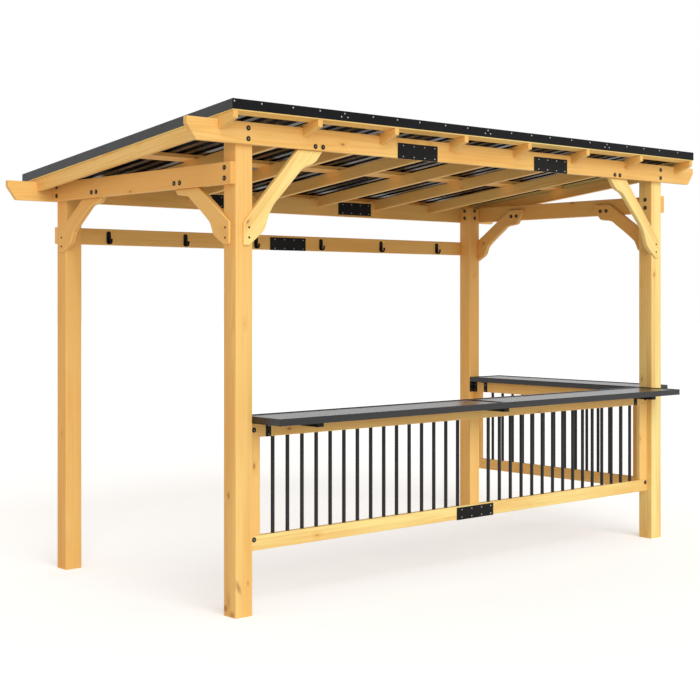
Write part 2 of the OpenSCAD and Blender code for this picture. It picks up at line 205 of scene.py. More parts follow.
# The brown knots at the foot of the front left post: the place from the post's front left corner, the
# radii, the lean in degrees and the strength of each.
foot_knots = (
    ((0.014, 0.0, 0.143), (0.016, 0.020, 0.050), -20, 0.75),
    ((0.069, 0.0, 0.155), (0.010, 0.020, 0.020), 0, 0.45),
    ((0.0, 0.081, 0.036), (0.020, 0.020, 0.024), 0, 1.0),
    ((0.0, 0.030, 0.012), (0.020, 0.030, 0.026), 0, 0.65),
    ((0.0, 0.058, 0.070), (0.020, 0.022, 0.070), 0, 0.35))
front_left_low, front_left_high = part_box("post_front_left")
post_ease = 0.0015
board_ease = 0.0025
weld_distance = 0.00002
flat_angle = math.radians(0.6)
sharp_angle = math.radians(28)
smooth_angle = math.radians(14)
heart_reach = (0.05, 0.13)
trunk_length = 40
end_lean = 0.75
steep = 0.5
ring_width = 0.0055
drift_reach = 0.5
pale_rings = 0.15
amber_rings = 0.34
streak_range = (0.48, 0.78)
streak_strength = 0.45
fibre_range = (0.5, 0.85)
fibre_strength = 0.25
tone_range = (0.42, 0.72)
tone_strength = 0.5
halo_strength = 0.45
knot_strength = 0.6
end_strength = 0.12
edge_wear_and_highlight_strength = 0.35
grain_bump = 0.25
grain_relief = 0.0006
early_roughness = 0.50
late_roughness = 0.64
wood_sheen = 0.35


def new_group(name, inputs, outputs):
    """An empty shader group with named sockets, and its two end nodes."""
    tree = bpy.data.node_groups.new(name, "ShaderNodeTree")
    for label, kind in inputs:
        tree.interface.new_socket(label, in_out="INPUT", socket_type=kind)
    for label, kind in outputs:
        tree.interface.new_socket(label, in_out="OUTPUT", socket_type=kind)
    return tree, tree.nodes.new("NodeGroupInput"), tree.nodes.new("NodeGroupOutput")


def noise(tree, place, stretch, detail=2.0):
    """Soft noise from 0 to 1 in stretched coordinates."""
    stretched = node(tree, "ShaderNodeMapping", Vector=place, Scale=stretch)
    made = node(tree, "ShaderNodeTexNoise", Vector=stretched.outputs[0], Scale=1.0, Detail=detail)
    return made.outputs["Fac"]


def smooth_step(tree, value, low, high):
    """0 at low, 1 at high and smooth between, where low may be the larger."""
    made = node(tree, "ShaderNodeMapRange", Value=value, From_Min=low, From_Max=high)
    made.interpolation_type = "SMOOTHSTEP"
    return made.outputs["Result"]


def length_of(tree, vector):
    """The length of a vector."""
    made = node(tree, "ShaderNodeVectorMath", Vector=vector)
    made.operation = "LENGTH"
    return made.outputs["Value"]


def softwood_grain():
    """Growth rings, streaks and knots in a board's own coordinates: along, across and through it."""
    knot_stretch = (5.0, 10.0, 10.0)
    knot_rim = (0.10, 0.045)
    halo_rim = (0.28, 0.05)
    knotless_share = 0.55
    sway_stretch = (0.8, 7, 7)
    fibre_stretch = (7, 560, 560)
    streak_stretch = (1.6, 110, 110)
    tone_stretch = (1.1, 11, 11)
    drift_stretch = (1.3, 2.5, 2.5)
    sway_reach = 0.036
    knot_push = 0.010
    ring_sharpness = 2.0
    ring_relief = 0.6
    fibre_relief = 0.5
    tree, ends, out = new_group(
        "softwood_grain",
        [("Board", "NodeSocketVector"), ("Ring Width", "NodeSocketFloat")],
        [(label, "NodeSocketFloat")
         for label in ("Rings", "Streaks", "Fibre", "Halo", "Knots", "Tone", "Drift", "Height")])
    board = ends.outputs["Board"]
    knot_space = node(tree, "ShaderNodeMapping", Vector=board, Scale=knot_stretch)
    cells = node(tree, "ShaderNodeTexVoronoi", Vector=knot_space.outputs[0], Scale=1.0)
    draw = node(tree, "ShaderNodeSeparateColor", Color=cells.outputs["Color"])
    kept = math_node(tree, "GREATER_THAN", draw.outputs["Red"], knotless_share)
    near = cells.outputs["Distance"]
    knots = math_node(tree, "MULTIPLY", smooth_step(tree, near, *knot_rim), kept)
    halo = math_node(tree, "MULTIPLY", smooth_step(tree, near, *halo_rim), kept)
    sway = noise(tree, board, sway_stretch)
    axes = node(tree, "ShaderNodeSeparateXYZ", Vector=board)
    flat = node(tree, "ShaderNodeCombineXYZ", X=axes.outputs["Y"], Y=axes.outputs["Z"])
    swayed = math_node(tree, "MULTIPLY_ADD", sway, sway_reach, length_of(tree, flat.outputs[0]))
    pushed = math_node(tree, "MULTIPLY_ADD", halo, knot_push, swayed)
    turns = math_node(tree, "DIVIDE", pushed, ends.outputs["Ring Width"])
    wave = math_node(tree, "SINE", math_node(tree, "MULTIPLY", turns, 2 * math.pi))
    rings = math_node(tree, "POWER", math_node(tree, "MULTIPLY_ADD", wave, 0.5, 0.5), ring_sharpness)
    fibre = noise(tree, board, fibre_stretch)
    streaks = noise(tree, board, streak_stretch)
    tone = noise(tree, board, tone_stretch)
    drift = noise(tree, board, drift_stretch, detail=1.0)
    fibre_height = math_node(tree, "MULTIPLY", fibre, fibre_relief)
    height = math_node(tree, "MULTIPLY_ADD", rings, ring_relief, fibre_height)
    for socket, end in zip((rings, streaks, fibre, halo, knots, tone, drift, height), out.inputs):
        tree.links.new(socket, end)
    return tree


def mixed(tree, share, first, second):
    """A colour mix, with sockets or plain colours. Inputs 6 and 7 of the node hold the two colours."""
    made = tree.nodes.new("ShaderNodeMix")
    made.data_type = "RGBA"
    for index, value in ((0, share), (6, first), (7, second)):
        feed(tree, made.inputs[index], value)
    return made.outputs[2]


def laid_over(tree, mask, strength, below, above):
    """A colour laid over another at part strength, where a mask says so."""
    return mixed(tree, math_node(tree, "MULTIPLY", mask, strength), below, above)


def finish_material(tree, **inputs):
    """The shader and the output of a material."""
    shader = node(tree, "ShaderNodeBsdfPrincipled", **inputs)
    end = tree.nodes.new("ShaderNodeOutputMaterial")
    tree.links.new(shader.outputs[0], end.inputs["Surface"])


def stored(tree, name):
    """A value kept on the mesh."""
    made = tree.nodes.new("ShaderNodeAttribute")
    made.attribute_name = name
    return made.outputs


def object_place(tree):
    """Places in metres, from the origin of the object."""
    return tree.nodes.new("ShaderNodeTexCoord").outputs["Object"]


def placed_knot(tree, place, ragged, centre, radii, lean):
    """A mask round one knot at a known place: 1 at its middle, with a ragged rim."""
    raggedness = 1.2
    rim_range = (1.6, 0.7)
    local = node(tree, "ShaderNodeMapping", Vector=place, Location=centre, Scale=radii,
                 Rotation=(0, math.radians(lean), 0))
    local.vector_type = "TEXTURE"
    rim = math_node(tree, "MULTIPLY_ADD", ragged, raggedness, length_of(tree, local.outputs[0]))
    return smooth_step(tree, rim, *rim_range)


pine, wood = empty_material("honey_pine")
grain = wood.nodes.new("ShaderNodeGroup")
grain.node_tree = softwood_grain()
grain.inputs["Ring Width"].default_value = ring_width
wood.links.new(stored(wood, "grain")["Vector"], grain.inputs["Board"])
drifted = math_node(wood, "MULTIPLY_ADD", grain.outputs["Drift"], drift_reach, -drift_reach / 2)
tint = math_node(wood, "ADD", stored(wood, "tint")["Fac"], drifted)
tinted = mixed(wood, tint, honey_pale, honey_amber)
ring_strength = math_node(wood, "MULTIPLY_ADD", stored(wood, "tint")["Fac"], amber_rings, pale_rings)
ringed = laid_over(wood, grain.outputs["Rings"], ring_strength, tinted, honey_ring)
streak_mask = smooth_step(wood, grain.outputs["Streaks"], *streak_range)
streaked = laid_over(wood, streak_mask, streak_strength, ringed, honey_ring)
fibre_mask = smooth_step(wood, grain.outputs["Fibre"], *fibre_range)
fibred = laid_over(wood, fibre_mask, fibre_strength, streaked, honey_fibre)
tone_mask = smooth_step(wood, grain.outputs["Tone"], *tone_range)
toned = laid_over(wood, tone_mask, tone_strength, fibred, honey_ring)
haloed = laid_over(wood, grain.outputs["Halo"], halo_strength, toned, honey_ring)
knotted = laid_over(wood, grain.outputs["Knots"], knot_strength, haloed, knot_brown)
wood_place = object_place(wood)
for offset, radii, lean, strength in foot_knots:
    centre = front_left_low + Vector(offset)
    mask = placed_knot(wood, wood_place, grain.outputs["Fibre"], centre, radii, lean)
    knotted = laid_over(wood, mask, strength, knotted, knot_resin)
ended = laid_over(wood, stored(wood, "end")["Fac"], end_strength, knotted, honey_ring)
# Eased edges are lighter: wear, and a painted highlight where they catch the light.
edged = laid_over(wood, stored(wood, "eased")["Fac"], edge_wear_and_highlight_strength, ended, edge_wear_and_highlight)
wood_bump = node(wood, "ShaderNodeBump", Strength=grain_bump, Distance=grain_relief,
                 Height=grain.outputs["Height"])
wood_rough = node(wood, "ShaderNodeMapRange", Value=grain.outputs["Rings"],
                  To_Min=early_roughness, To_Max=late_roughness)
finish_material(wood, Base_Color=edged, Roughness=wood_rough.outputs["Result"],
                Normal=wood_bump.outputs[0], Specular_IOR_Level=wood_sheen)


def copy_of(cad_name, piece_name):
    """A copy of a CAD node with its loose triangles joined into clean faces, left selected."""
    source = frame["nodes"][cad_name]
    bpy.ops.object.select_all(action="DESELECT")
    source.select_set(True)
    bpy.context.view_layer.objects.active = source
    bpy.ops.object.duplicate()
    piece = bpy.context.active_object
    piece.name = piece_name
    piece.data.name = piece_name
    del piece["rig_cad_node"]
    bpy.ops.object.mode_set(mode="EDIT")
    bpy.ops.mesh.select_all(action="SELECT")
    bpy.ops.mesh.customdata_custom_splitnormals_clear()
    bpy.ops.mesh.remove_doubles(threshold=weld_distance)
    bpy.ops.mesh.dissolve_limited(angle_limit=flat_angle)
    bpy.ops.object.mode_set(mode="OBJECT")
    piece.data.materials.clear()
    return piece


def ease_edges(piece, width, steps=2):
    """Rounds every sharp edge by a small width."""
    ease = piece.modifiers.new("ease", "BEVEL")
    ease.width = width
    ease.segments = steps
    ease.limit_method = "ANGLE"
    ease.angle_limit = sharp_angle
    bpy.context.view_layer.objects.active = piece
    bpy.ops.object.modifier_apply(modifier="ease")
    bpy.ops.object.shade_smooth_by_angle(angle=smooth_angle)


def loose_solids(bm):
    """The separate solids of a mesh, each as a list of its vertices."""
    seen = set()
    solids = []
    for start in bm.verts:
        if start.index in seen:
            continue
        seen.add(start.index)
        solid = [start]
        for vert in solid:
            for edge in vert.link_edges:
                other = edge.other_vert(vert)
                if other.index not in seen:
                    seen.add(other.index)
                    solid.append(other)
        solids.append(solid)
    return solids


def store_grain(piece, ease, tints, painted_side_shade):
    """Gives each board grain along its longest edge and a tint of its own, and marks its edges and ends.

    Sides other than the front may be a shade deeper: painted shade away from the front light.
    """
    draw = random.Random(piece.name)
    bm = bmesh.new()
    bm.from_mesh(piece.data)
    grain_layer = bm.verts.layers.float_vector.new("grain")
    tint_layer = bm.faces.layers.float.new("tint")
    eased_layer = bm.faces.layers.float.new("eased")
    end_layer = bm.faces.layers.float.new("end")
    for solid in loose_solids(bm):
        edges = [edge for vert in solid for edge in vert.link_edges]
        longest = max(edges, key=lambda edge: round(edge.calc_length(), 4))
        along = (longest.verts[1].co - longest.verts[0].co).normalized()
        helper = Vector((0, 0, 1)) if abs(along.z) < steep else Vector((0, 1, 0))
        across = along.cross(helper).normalized()
        through = along.cross(across)
        middle = sum((vert.co for vert in solid), Vector()) / len(solid)
        angle = draw.uniform(0, 2 * math.pi)
        heart = draw.uniform(*heart_reach)
        start = draw.uniform(0, trunk_length)
        tint = draw.uniform(*tints)
        for vert in solid:
            place = vert.co - middle
            vert[grain_layer] = (
                place.dot(along) + start,
                place.dot(across) + heart * math.cos(angle),
                place.dot(through) + heart * math.sin(angle))
            for face in vert.link_faces:
                # Faces that do not look to the front get a deeper tint: painted shade.
                face[tint_layer] = tint + painted_side_shade * (1 - max(0, -face.normal.y))
                face[end_layer] = 1.0 if abs(face.normal.dot(along)) > end_lean else 0.0
    for face in bm.faces:
        width = face.calc_area() / max(edge.calc_length() for edge in face.edges)
        face[eased_layer] = 1.0 if width < ease else 0.0
    bm.to_mesh(piece.data)
    bm.free()


def timber(cad_name, ease=board_ease, tints=amber_tints, painted_side_shade=0.0):
    """A planed board in place of its CAD node."""
    piece = copy_of(cad_name, cad_name + "_timber")
    ease_edges(piece, ease)
    store_grain(piece, ease, tints, painted_side_shade)
    piece.data.materials.append(pine)
    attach(piece, "root")
    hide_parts(cad_name)
    return piece


for post, tints, painted_side_shade in post_tints:
    timber(post, post_ease, tints, painted_side_shade)

# The beams: the long front and back beams are each three softwood boards end to end, shaped at their
# outer ends and slotted for the rafters. The side beams are single boards on the outer faces of the posts.
for beam in ("front_beam_ends", "front_beam_middle"):
    timber(beam, board_ease, honey_tints)
for beam in ("back_beam_ends", "back_beam_middle"):
    timber(beam, board_ease, deep_tints)
for beam in ("side_beam_left", "side_beam_right"):
    timber(beam)

# The bolts: black button-head bolts, two at each crossing of a beam and a post, pulled down on cup
# washers. They show on the outer face of each beam and again on the inner face of each post. The crown
# of each head is a lighter, metallic steel: a painted highlight in the middle of the head.
cup_radius = 0.0118
cup_height = 0.0032
cup_recess = 0.0006
cup_sides = 20
cup_floor = cup_height - cup_recess
crown_radius = 0.0050
crown_height = 0.0022
crown_sides = 16
socket_radius = 0.0022
socket_depth = 0.0016
front_bolt_rows = (0.025, 0.074)
low_bolt_rows = (0.028, 0.077)
black_steel = (0.006, 0.006, 0.006, 1)
black_steel_worn = (0.014, 0.013, 0.012, 1)
crown_glint_grey = (0.16, 0.14, 0.12, 1)
crown_glint_grey_light = (0.28, 0.25, 0.22, 1)
clouds_per_metre = 3.5
cloud_range = (0.35, 0.75)
gloss_spread = (0.82, 1.18)
peel_strength = 0.15
peel_depth = 0.0001


def select_top_face(piece):
    """Selects the highest level face of a piece and goes to edit mode."""
    same_height = 1e-6
    facing_up = 0.9
    bpy.ops.object.mode_set(mode="OBJECT")
    reach = max(face.center.z for face in piece.data.polygons)
    for face in piece.data.polygons:
        face.select = face.center.z > reach - same_height and face.normal.z > facing_up
    bpy.ops.object.mode_set(mode="EDIT")
    bpy.ops.mesh.select_mode(type="FACE")


def round_head(name, radius, height, sides, recess_radius, recess_depth):
    """A round head that stands on the origin: a crowned disc with a recess in its top."""
    skirt_height = height * 0.5
    shoulder_rise = height * 0.36
    crown_rise = height * 0.14
    shoulder_width = radius * 0.2
    crown_width = radius * 0.8 - recess_radius
    lip_width = recess_radius * 0.12
    rounded_angle = math.radians(35)
    bpy.ops.object.select_all(action="DESELECT")
    bpy.ops.mesh.primitive_cylinder_add(vertices=sides, radius=radius, depth=skirt_height,
                                        location=(0, 0, skirt_height / 2))
    piece = bpy.context.active_object
    piece.name = name
    bpy.ops.object.transform_apply(location=True, rotation=True, scale=True)
    select_top_face(piece)
    bpy.ops.mesh.inset(thickness=shoulder_width)
    bpy.ops.transform.translate(value=(0, 0, shoulder_rise))
    bpy.ops.mesh.inset(thickness=crown_width)
    bpy.ops.transform.translate(value=(0, 0, crown_rise))
    bpy.ops.mesh.inset(thickness=lip_width)
    bpy.ops.transform.translate(value=(0, 0, -recess_depth))
    bpy.ops.object.mode_set(mode="OBJECT")
    bpy.ops.object.shade_smooth_by_angle(angle=rounded_angle)
    return piece


def joined_copies(master, places, name, material):
    """One piece made of a copy of a master at each place, its top turned towards a direction."""
    bm = bmesh.new()
    for place, towards in places:
        start = len(bm.verts)
        bm.from_mesh(master.data)
        bm.verts.ensure_lookup_table()
        turn = Vector(towards).to_track_quat("Z", "Y").to_matrix().to_4x4()
        bmesh.ops.transform(bm, matrix=Matrix.Translation(place) @ turn, verts=bm.verts[start:])
    mesh = bpy.data.meshes.new(name)
    bm.to_mesh(mesh)
    bm.free()
    piece = bpy.data.objects.new(name, mesh)
    scene.collection.objects.link(piece)
    mesh.materials.append(material)
    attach(piece, "root")


def coating_flecks():
    """Masks for coated metal: broad clouds and fine specks."""
    tree, ends, out = new_group(
        "coating_flecks",
        [("Place", "NodeSocketVector"), ("Speck Size", "NodeSocketFloat")],
        [("Clouds", "NodeSocketFloat"), ("Specks", "NodeSocketFloat")])
    place = ends.outputs["Place"]
    clouds = node(tree, "ShaderNodeTexNoise", Vector=place, Scale=clouds_per_metre, Detail=3.0)
    specks_per_metre = math_node(tree, "DIVIDE", 1.0, ends.outputs["Speck Size"])
    specks = node(tree, "ShaderNodeTexNoise", Vector=place, Scale=specks_per_metre, Detail=1.0)
    tree.links.new(clouds.outputs["Fac"], out.inputs["Clouds"])
    tree.links.new(specks.outputs["Fac"], out.inputs["Specks"])
    return tree


flecks = coating_flecks()


def coated_metal(name, colour, lighter, roughness, speck_size, metallic=0.0, sheen=0.5):
    """Coated steel: a colour that drifts a little, uneven gloss and a fine orange-peel surface."""
    glossiest, dullest = gloss_spread
    material, tree = empty_material(name)
    coat = tree.nodes.new("ShaderNodeGroup")
    coat.node_tree = flecks
    coat.inputs["Speck Size"].default_value = speck_size
    tree.links.new(object_place(tree), coat.inputs["Place"])
    shade = mixed(tree, smooth_step(tree, coat.outputs["Clouds"], *cloud_range), colour, lighter)
    rough = node(tree, "ShaderNodeMapRange", Value=coat.outputs["Clouds"],
                 To_Min=roughness * glossiest, To_Max=roughness * dullest)
    bump = node(tree, "ShaderNodeBump", Strength=peel_strength, Distance=peel_depth,
                Height=coat.outputs["Specks"])
    finish_material(tree, Base_Color=shade, Roughness=rough.outputs["Result"], Normal=bump.outputs[0],
                    Metallic=metallic, Specular_IOR_Level=sheen)
    return material


bolt_black = coated_metal("black_zinc", black_steel, black_steel_worn,
                          roughness=0.42, speck_size=0.002, sheen=0.12)
glint_steel = coated_metal("rubbed_zinc", crown_glint_grey, crown_glint_grey_light,
                           roughness=0.4, speck_size=0.002, metallic=0.8)
cup_master = round_head("cup_washer", cup_radius, cup_height, cup_sides, crown_radius, cup_recess)
crown_master = round_head("bolt_crown", crown_radius, crown_height, crown_sides,
                          socket_radius, socket_depth)


def bolts(places, name):
    """Black cups and bright crowns, a painted highlight, at the same places."""
    raised = [(Vector(place) + Vector(towards) * cup_floor, towards) for place, towards in places]
    joined_copies(cup_master, places, name + "_cups", bolt_black)
    joined_copies(crown_master, raised, name + "_crowns", glint_steel)


front_beam_low, front_beam_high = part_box("front_beam_middle")
back_beam_low, back_beam_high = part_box("back_beam_middle")
rear_right_low, rear_right_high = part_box("post_rear_right")
post_x = (rear_right_low.x + rear_right_high.x) / 2
front_posts_y = (front_left_low.y + front_left_high.y) / 2
rear_posts_y = (rear_right_low.y + rear_right_high.y) / 2
side_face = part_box("side_beam_right")[1].x
beam_places = []
for side in (-1, 1):
    x = side * post_x
    for row in front_bolt_rows:
        z = front_beam_low.z + row
        beam_places.append(((x, front_beam_low.y, z), (0, -1, 0)))
        beam_places.append(((x, front_left_high.y, z), (0, 1, 0)))
    for row in low_bolt_rows:
        z = back_beam_low.z + row
        beam_places.append(((x, back_beam_high.y, z), (0, 1, 0)))
        beam_places.append(((x, rear_right_low.y, z), (0, -1, 0)))
        for y in (front_posts_y, rear_posts_y):
            beam_places.append(((side * side_face, y, z), (side, 0, 0)))
            beam_places.append(((side * rear_right_low.x, y, z), (-side, 0, 0)))
bolts(beam_places, "beam_bolts")

# The knee braces: curved softwood boards sawn from wide stock, lapped over the face of a post and behind
# a beam. Two screws hold the foot of each one, and two bolts hold its head through the beam.
brace_ease = 0.005
brace_tints = (0.05, 0.2)
# The sides of the front braces away from the front are a little deeper: painted shade.
brace_side_shade = 0.15
front_head_reach = (0.356, 0.404)
front_head_rise = 0.018
front_foot_drop = (0.382, 0.429)
side_head_reach = (0.312, 0.359)
side_head_rise = 0.028
side_foot_drop = (0.198, 0.246)
foot_screw_in = 0.030
screw_radius = 0.0052
screw_height = 0.0026
screw_sides = 12
screw_recess = 0.0021
screw_recess_depth = 0.0009
timber("front_braces", brace_ease, brace_tints, brace_side_shade)
timber("side_braces", brace_ease)

screw_master = round_head("screw_head", screw_radius, screw_height, screw_sides,
                          screw_recess, screw_recess_depth)
front_brace_low, front_brace_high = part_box("front_braces")
side_brace_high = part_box("side_braces")[1]
side_brace_inner = side_brace_high.x - (front_brace_high.y - front_brace_low.y)
front_head_z = front_beam_low.z + front_head_rise
side_head_z = back_beam_low.z + side_head_rise
brace_places = []
foot_places = []
for side in (-1, 1):
    for reach in front_head_reach:
        x = side * (rear_right_low.x - reach)
        brace_places.append(((x, front_beam_low.y, front_head_z), (0, -1, 0)))
        brace_places.append(((x, front_brace_high.y, front_head_z), (0, 1, 0)))
    for drop in front_foot_drop:
        x = side * (rear_right_low.x + foot_screw_in)
        foot_places.append(((x, front_brace_low.y, front_beam_low.z - drop), (0, -1, 0)))
    for inwards, post_y in ((1, front_left_high.y), (-1, rear_right_low.y)):
        for reach in side_head_reach:
            y = post_y + inwards * reach
            brace_places.append(((side * side_face, y, side_head_z), (side, 0, 0)))
            brace_places.append(((side * side_brace_inner, y, side_head_z), (-side, 0, 0)))
        for drop in side_foot_drop:
            y = post_y - inwards * foot_screw_in
            foot_places.append(((side * side_brace_high.x, y, back_beam_low.z - drop), (side, 0, 0)))
bolts(brace_places, "brace_bolts")
joined_copies(screw_master, foot_places, "brace_screws", bolt_black)

# The rafters: eight softwood boards on edge, half-lapped over both beams, with tails that taper to the
# eaves. The purlins lie flat across them, and thin battens on the end rafters carry the side trim. The
# front purlin and the battens are pale, a painted highlight for the lit lines under the trim, and the
# inner purlins and the purlins' other sides are deeper, a painted shade.
rafter_count = 8
strip_ease = 0.0008
purlin_side_shade = 0.4
inner_purlin_shade = 0.8
for number in range(1, rafter_count + 1):
    timber(f"rafter_{number}", board_ease, honey_tints)
# The pale front purlin is a painted highlight under the front trim, and its other sides are painted shade.
purlins = timber("purlins", strip_ease, pale_tints, purlin_side_shade)
# The purlins behind the front beam get a deeper tint: painted shade under the roof.
purlin_tint = purlins.data.attributes["tint"].data
for face in purlins.data.polygons:
    if face.center.y > front_beam_high.y:
        purlin_tint[face.index].value = inner_purlin_shade
# Pale battens: a painted highlight for the lit line under the side trim.
timber("verge_battens", strip_ease, pale_tints)

# The roof sheets: four sheets of coated steel, pressed into ribs that run down the slope, charcoal above
# and a glossier black below. They are screwed through the ribs to the purlins with painted screws.
sheet_count = 4
rib_count = 40
fold_ease = 0.0003
trim_thick = 0.002
screw_row_in = 0.05
middle_row_back = 0.09
rib_top_drop = 0.0022
under_black = (0.003, 0.003, 0.004, 1)
under_black_light = (0.006, 0.006, 0.007, 1)
charcoal = (0.014, 0.014, 0.015, 1)
charcoal_light = (0.024, 0.024, 0.026, 1)
roof_black = coated_metal("roof_under_coating", under_black, under_black_light,
                          roughness=0.20, speck_size=0.02, sheen=0.09)
roof_charcoal = coated_metal("roof_top_coating", charcoal, charcoal_light,
                             roughness=0.32, speck_size=0.02, sheen=0.35)


def sheet_metal(cad_name, ease, material, steps=2):
    """Folded or cut metal in place of its CAD node, with its folds rounded."""
    piece = copy_of(cad_name, cad_name + "_metal")
    ease_edges(piece, ease, steps)
    piece.data.materials.append(material)
    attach(piece, "root")
    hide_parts(cad_name)
    return piece


for number in range(1, sheet_count + 1):
    sheet = sheet_metal(f"roof_sheet_{number}", fold_ease, roof_black, steps=1)
    sheet.data.materials.append(roof_charcoal)
    for face in sheet.data.polygons:
        face.material_index = 1 if face.normal.z > 0 else 0

trim_low, trim_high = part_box("roof_trim_front")
back_trim_low, back_trim_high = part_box("roof_trim_back")
fall = (trim_low.z - back_trim_low.z) / (back_trim_high.y - trim_low.y)
rib_pitch = (trim_high.x - trim_low.x - 2 * trim_thick) / rib_count
roof_middle = (trim_low.y + back_trim_high.y) / 2
roof_up = Vector((0, fall, 1)).normalized()
roof_screws = []
for y in (trim_low.y + screw_row_in, roof_middle + middle_row_back, back_trim_high.y - screw_row_in):
    z = trim_high.z - fall * (y - trim_low.y) - rib_top_drop
    for rib in range(1, rib_count, 2):
        x = trim_low.x + trim_thick + (rib + 0.5) * rib_pitch
        roof_screws.append(((x, y, z), roof_up))
joined_copies(screw_master, roof_screws, "roof_screws", roof_charcoal)

# The roof trim: folded black strips of coated steel round the four edges, lapped at their joints, the side
# strips greyer and glossier as a painted sheen. A row of small bright screws runs along the front and back
# strips, with three at each joint, and painted ones along the sides.
joint_count = 3
joint_gap = 1.005
first_joint = -1.099
half_strips = range(-2, 6)
screw_steps = (0, 0.185, 0.348)
screw_drop = 0.0125
end_margin = 0.008
joint_drop = 0.029
joint_half = 0.020
side_screw_count = 8
side_screw_in = 0.03
small_radius = 0.0040
small_height = 0.0022
small_recess = 0.0014
small_recess_depth = 0.0007
trim_ease = 0.0007
trim_black = (0.005, 0.005, 0.006, 1)
trim_black_light = (0.009, 0.009, 0.010, 1)
side_sheen_grey = (0.022, 0.022, 0.025, 1)
side_sheen_grey_light = (0.035, 0.035, 0.038, 1)
zinc = (0.42, 0.42, 0.42, 1)
zinc_light = (0.62, 0.62, 0.61, 1)
trim_coating = coated_metal("trim_coating", trim_black, trim_black_light,
                            roughness=0.36, speck_size=0.0015, sheen=0.1)
# The side strips' grey and gloss are a painted sheen where the left side catches light.
side_sheen_coating = coated_metal("side_trim_coating", side_sheen_grey, side_sheen_grey_light,
                            roughness=0.36, speck_size=0.0015, sheen=0.4)
zinc_and_glint_steel = coated_metal("bright_zinc", zinc, zinc_light,
                            roughness=0.38, speck_size=0.003, metallic=0.7)
for strip in ("roof_trim_front", "roof_trim_back"):
    sheet_metal(strip, trim_ease, trim_coating, steps=1)
sheet_metal("roof_trim_sides", trim_ease, side_sheen_coating, steps=1)

back_top = back_trim_low.z + (trim_high.z - trim_low.z)
back_face = min(back_trim_high.y, cad_high.y - small_height)
edge_screws = []
for half_strip in half_strips:
    for step in screw_steps:
        x = first_joint + half_strip * joint_gap / 2 + step
        if trim_low.x + end_margin < x < trim_high.x - end_margin:
            edge_screws.append(((x, trim_low.y, trim_high.z - screw_drop), (0, -1, 0)))
            edge_screws.append(((x, back_face, back_top - screw_drop), (0, 1, 0)))
for joint in range(joint_count):
    for step in (-joint_half, joint_half):
        x = first_joint + joint * joint_gap + step
        edge_screws.append(((x, trim_low.y, trim_high.z - joint_drop), (0, -1, 0)))
        edge_screws.append(((x, back_face, back_top - joint_drop), (0, 1, 0)))
small_master = round_head("small_screw_head", small_radius, small_height, screw_sides,
                          small_recess, small_recess_depth)
joined_copies(small_master, edge_screws, "trim_screws", zinc_and_glint_steel)

side_run = back_trim_high.y - trim_low.y - 2 * side_screw_in
side_screws = []
for number in range(side_screw_count):
    y = trim_low.y + side_screw_in + number * side_run / (side_screw_count - 1)
    z = trim_high.z - fall * (y - trim_low.y) - screw_drop
    for side in (-1, 1):
        side_screws.append(((side * trim_high.x, y, z), (side, 0, 0)))
joined_copies(small_master, side_screws, "side_trim_screws", side_sheen_coating)

# The hook rail: two softwood boards end to end across the back of the rear posts. Two black screws hold
# the outer end of each board to its post.
rail_screw_step = 0.022
for rail in ("hook_rail_left", "hook_rail_right"):
    timber(rail, board_ease, deep_tints)

rail_low, rail_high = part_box("hook_rail_left")
rail_middle = (rail_low.z + rail_high.z) / 2
rail_screws = []
for x in (-post_x, post_x):
    for step in (-rail_screw_step, rail_screw_step):
        rail_screws.append(((x, rail_high.y, rail_middle + step), (0, 1, 0)))
joined_copies(screw_master, rail_screws, "hook_rail_screws", bolt_black)

# The coat hooks: black cast hooks, each with an oblong plate and a round bar that turns up to a ball.
# Two small screws through the plate hold each one to the rail.
hook_count = 6
hook_half = 0.014
hook_plate = 0.003
hook_screw_rises = (0.005, 0.022)
hook_ease = 0.0004
powder = (0.006, 0.006, 0.006, 1)
powder_light = (0.011, 0.011, 0.011, 1)
powder_black = coated_metal("black_powder_coat", powder, powder_light,
                            roughness=0.45, speck_size=0.0009, sheen=0.12)
sheet_metal("coat_hooks", hook_ease, powder_black, steps=1)
hook_low, hook_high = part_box("coat_hooks")
hook_gap = (hook_high.x - hook_low.x - 2 * hook_half) / (hook_count - 1)
hook_screws = []
for number in range(hook_count):
    x = hook_low.x + hook_half + number * hook_gap
    for rise in hook_screw_rises:
        hook_screws.append(((x, rail_low.y - hook_plate, rail_middle + rise), (0, -1, 0)))
joined_copies(small_master, hook_screws, "hook_screws", bolt_black)

# The splice plates: flat black steel plates across the joints of the beams and rails. Two rows of four
# screws hold each one, and their light grey heads are a painted glint.
plate_columns = (-0.105, -0.029, 0.048, 0.121)
beam_plate_rows = (-0.0275, 0.0275)
rail_plate_rows = (-0.020, 0.020)
front_plate_rise = 0.037
hook_rail_plate_rise = 0.0385
bottom_plate_rise = 0.030
plate_thick = 0.003
plate_ease = 0.0008
plate_screw_radius = 0.0034
plate_screw_height = 0.0018
plate_recess = 0.0012
plate_recess_depth = 0.0006
sheet_metal("splice_plates", plate_ease, powder_black)
bottom_low, bottom_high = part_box("front_bottom_rail_left")
front_plate_z = front_beam_low.z + front_plate_rise
back_plate_z = (back_beam_low.z + back_beam_high.z) / 2
plates = []
for x in (front_beam_low.x, front_beam_high.x):
    plates.append((x, front_beam_low.y, front_plate_z, beam_plate_rows))
for x in (back_beam_low.x, back_beam_high.x):
    plates.append((x, back_beam_low.y, back_plate_z, beam_plate_rows))
plates.append((rail_high.x, rail_low.y, rail_low.z + hook_rail_plate_rise, beam_plate_rows))
plates.append((0, bottom_low.y, bottom_low.z + bottom_plate_rise, rail_plate_rows))
plate_screws = []
for x, y, z, rows in plates:
    for column in plate_columns:
        for row in rows:
            plate_screws.append(((x + column, y - plate_thick, z + row), (0, -1, 0)))
plate_master = round_head("plate_screw_head", plate_screw_radius, plate_screw_height, screw_sides,
                          plate_recess, plate_recess_depth)
joined_copies(plate_master, plate_screws, "plate_screws", zinc_and_glint_steel)

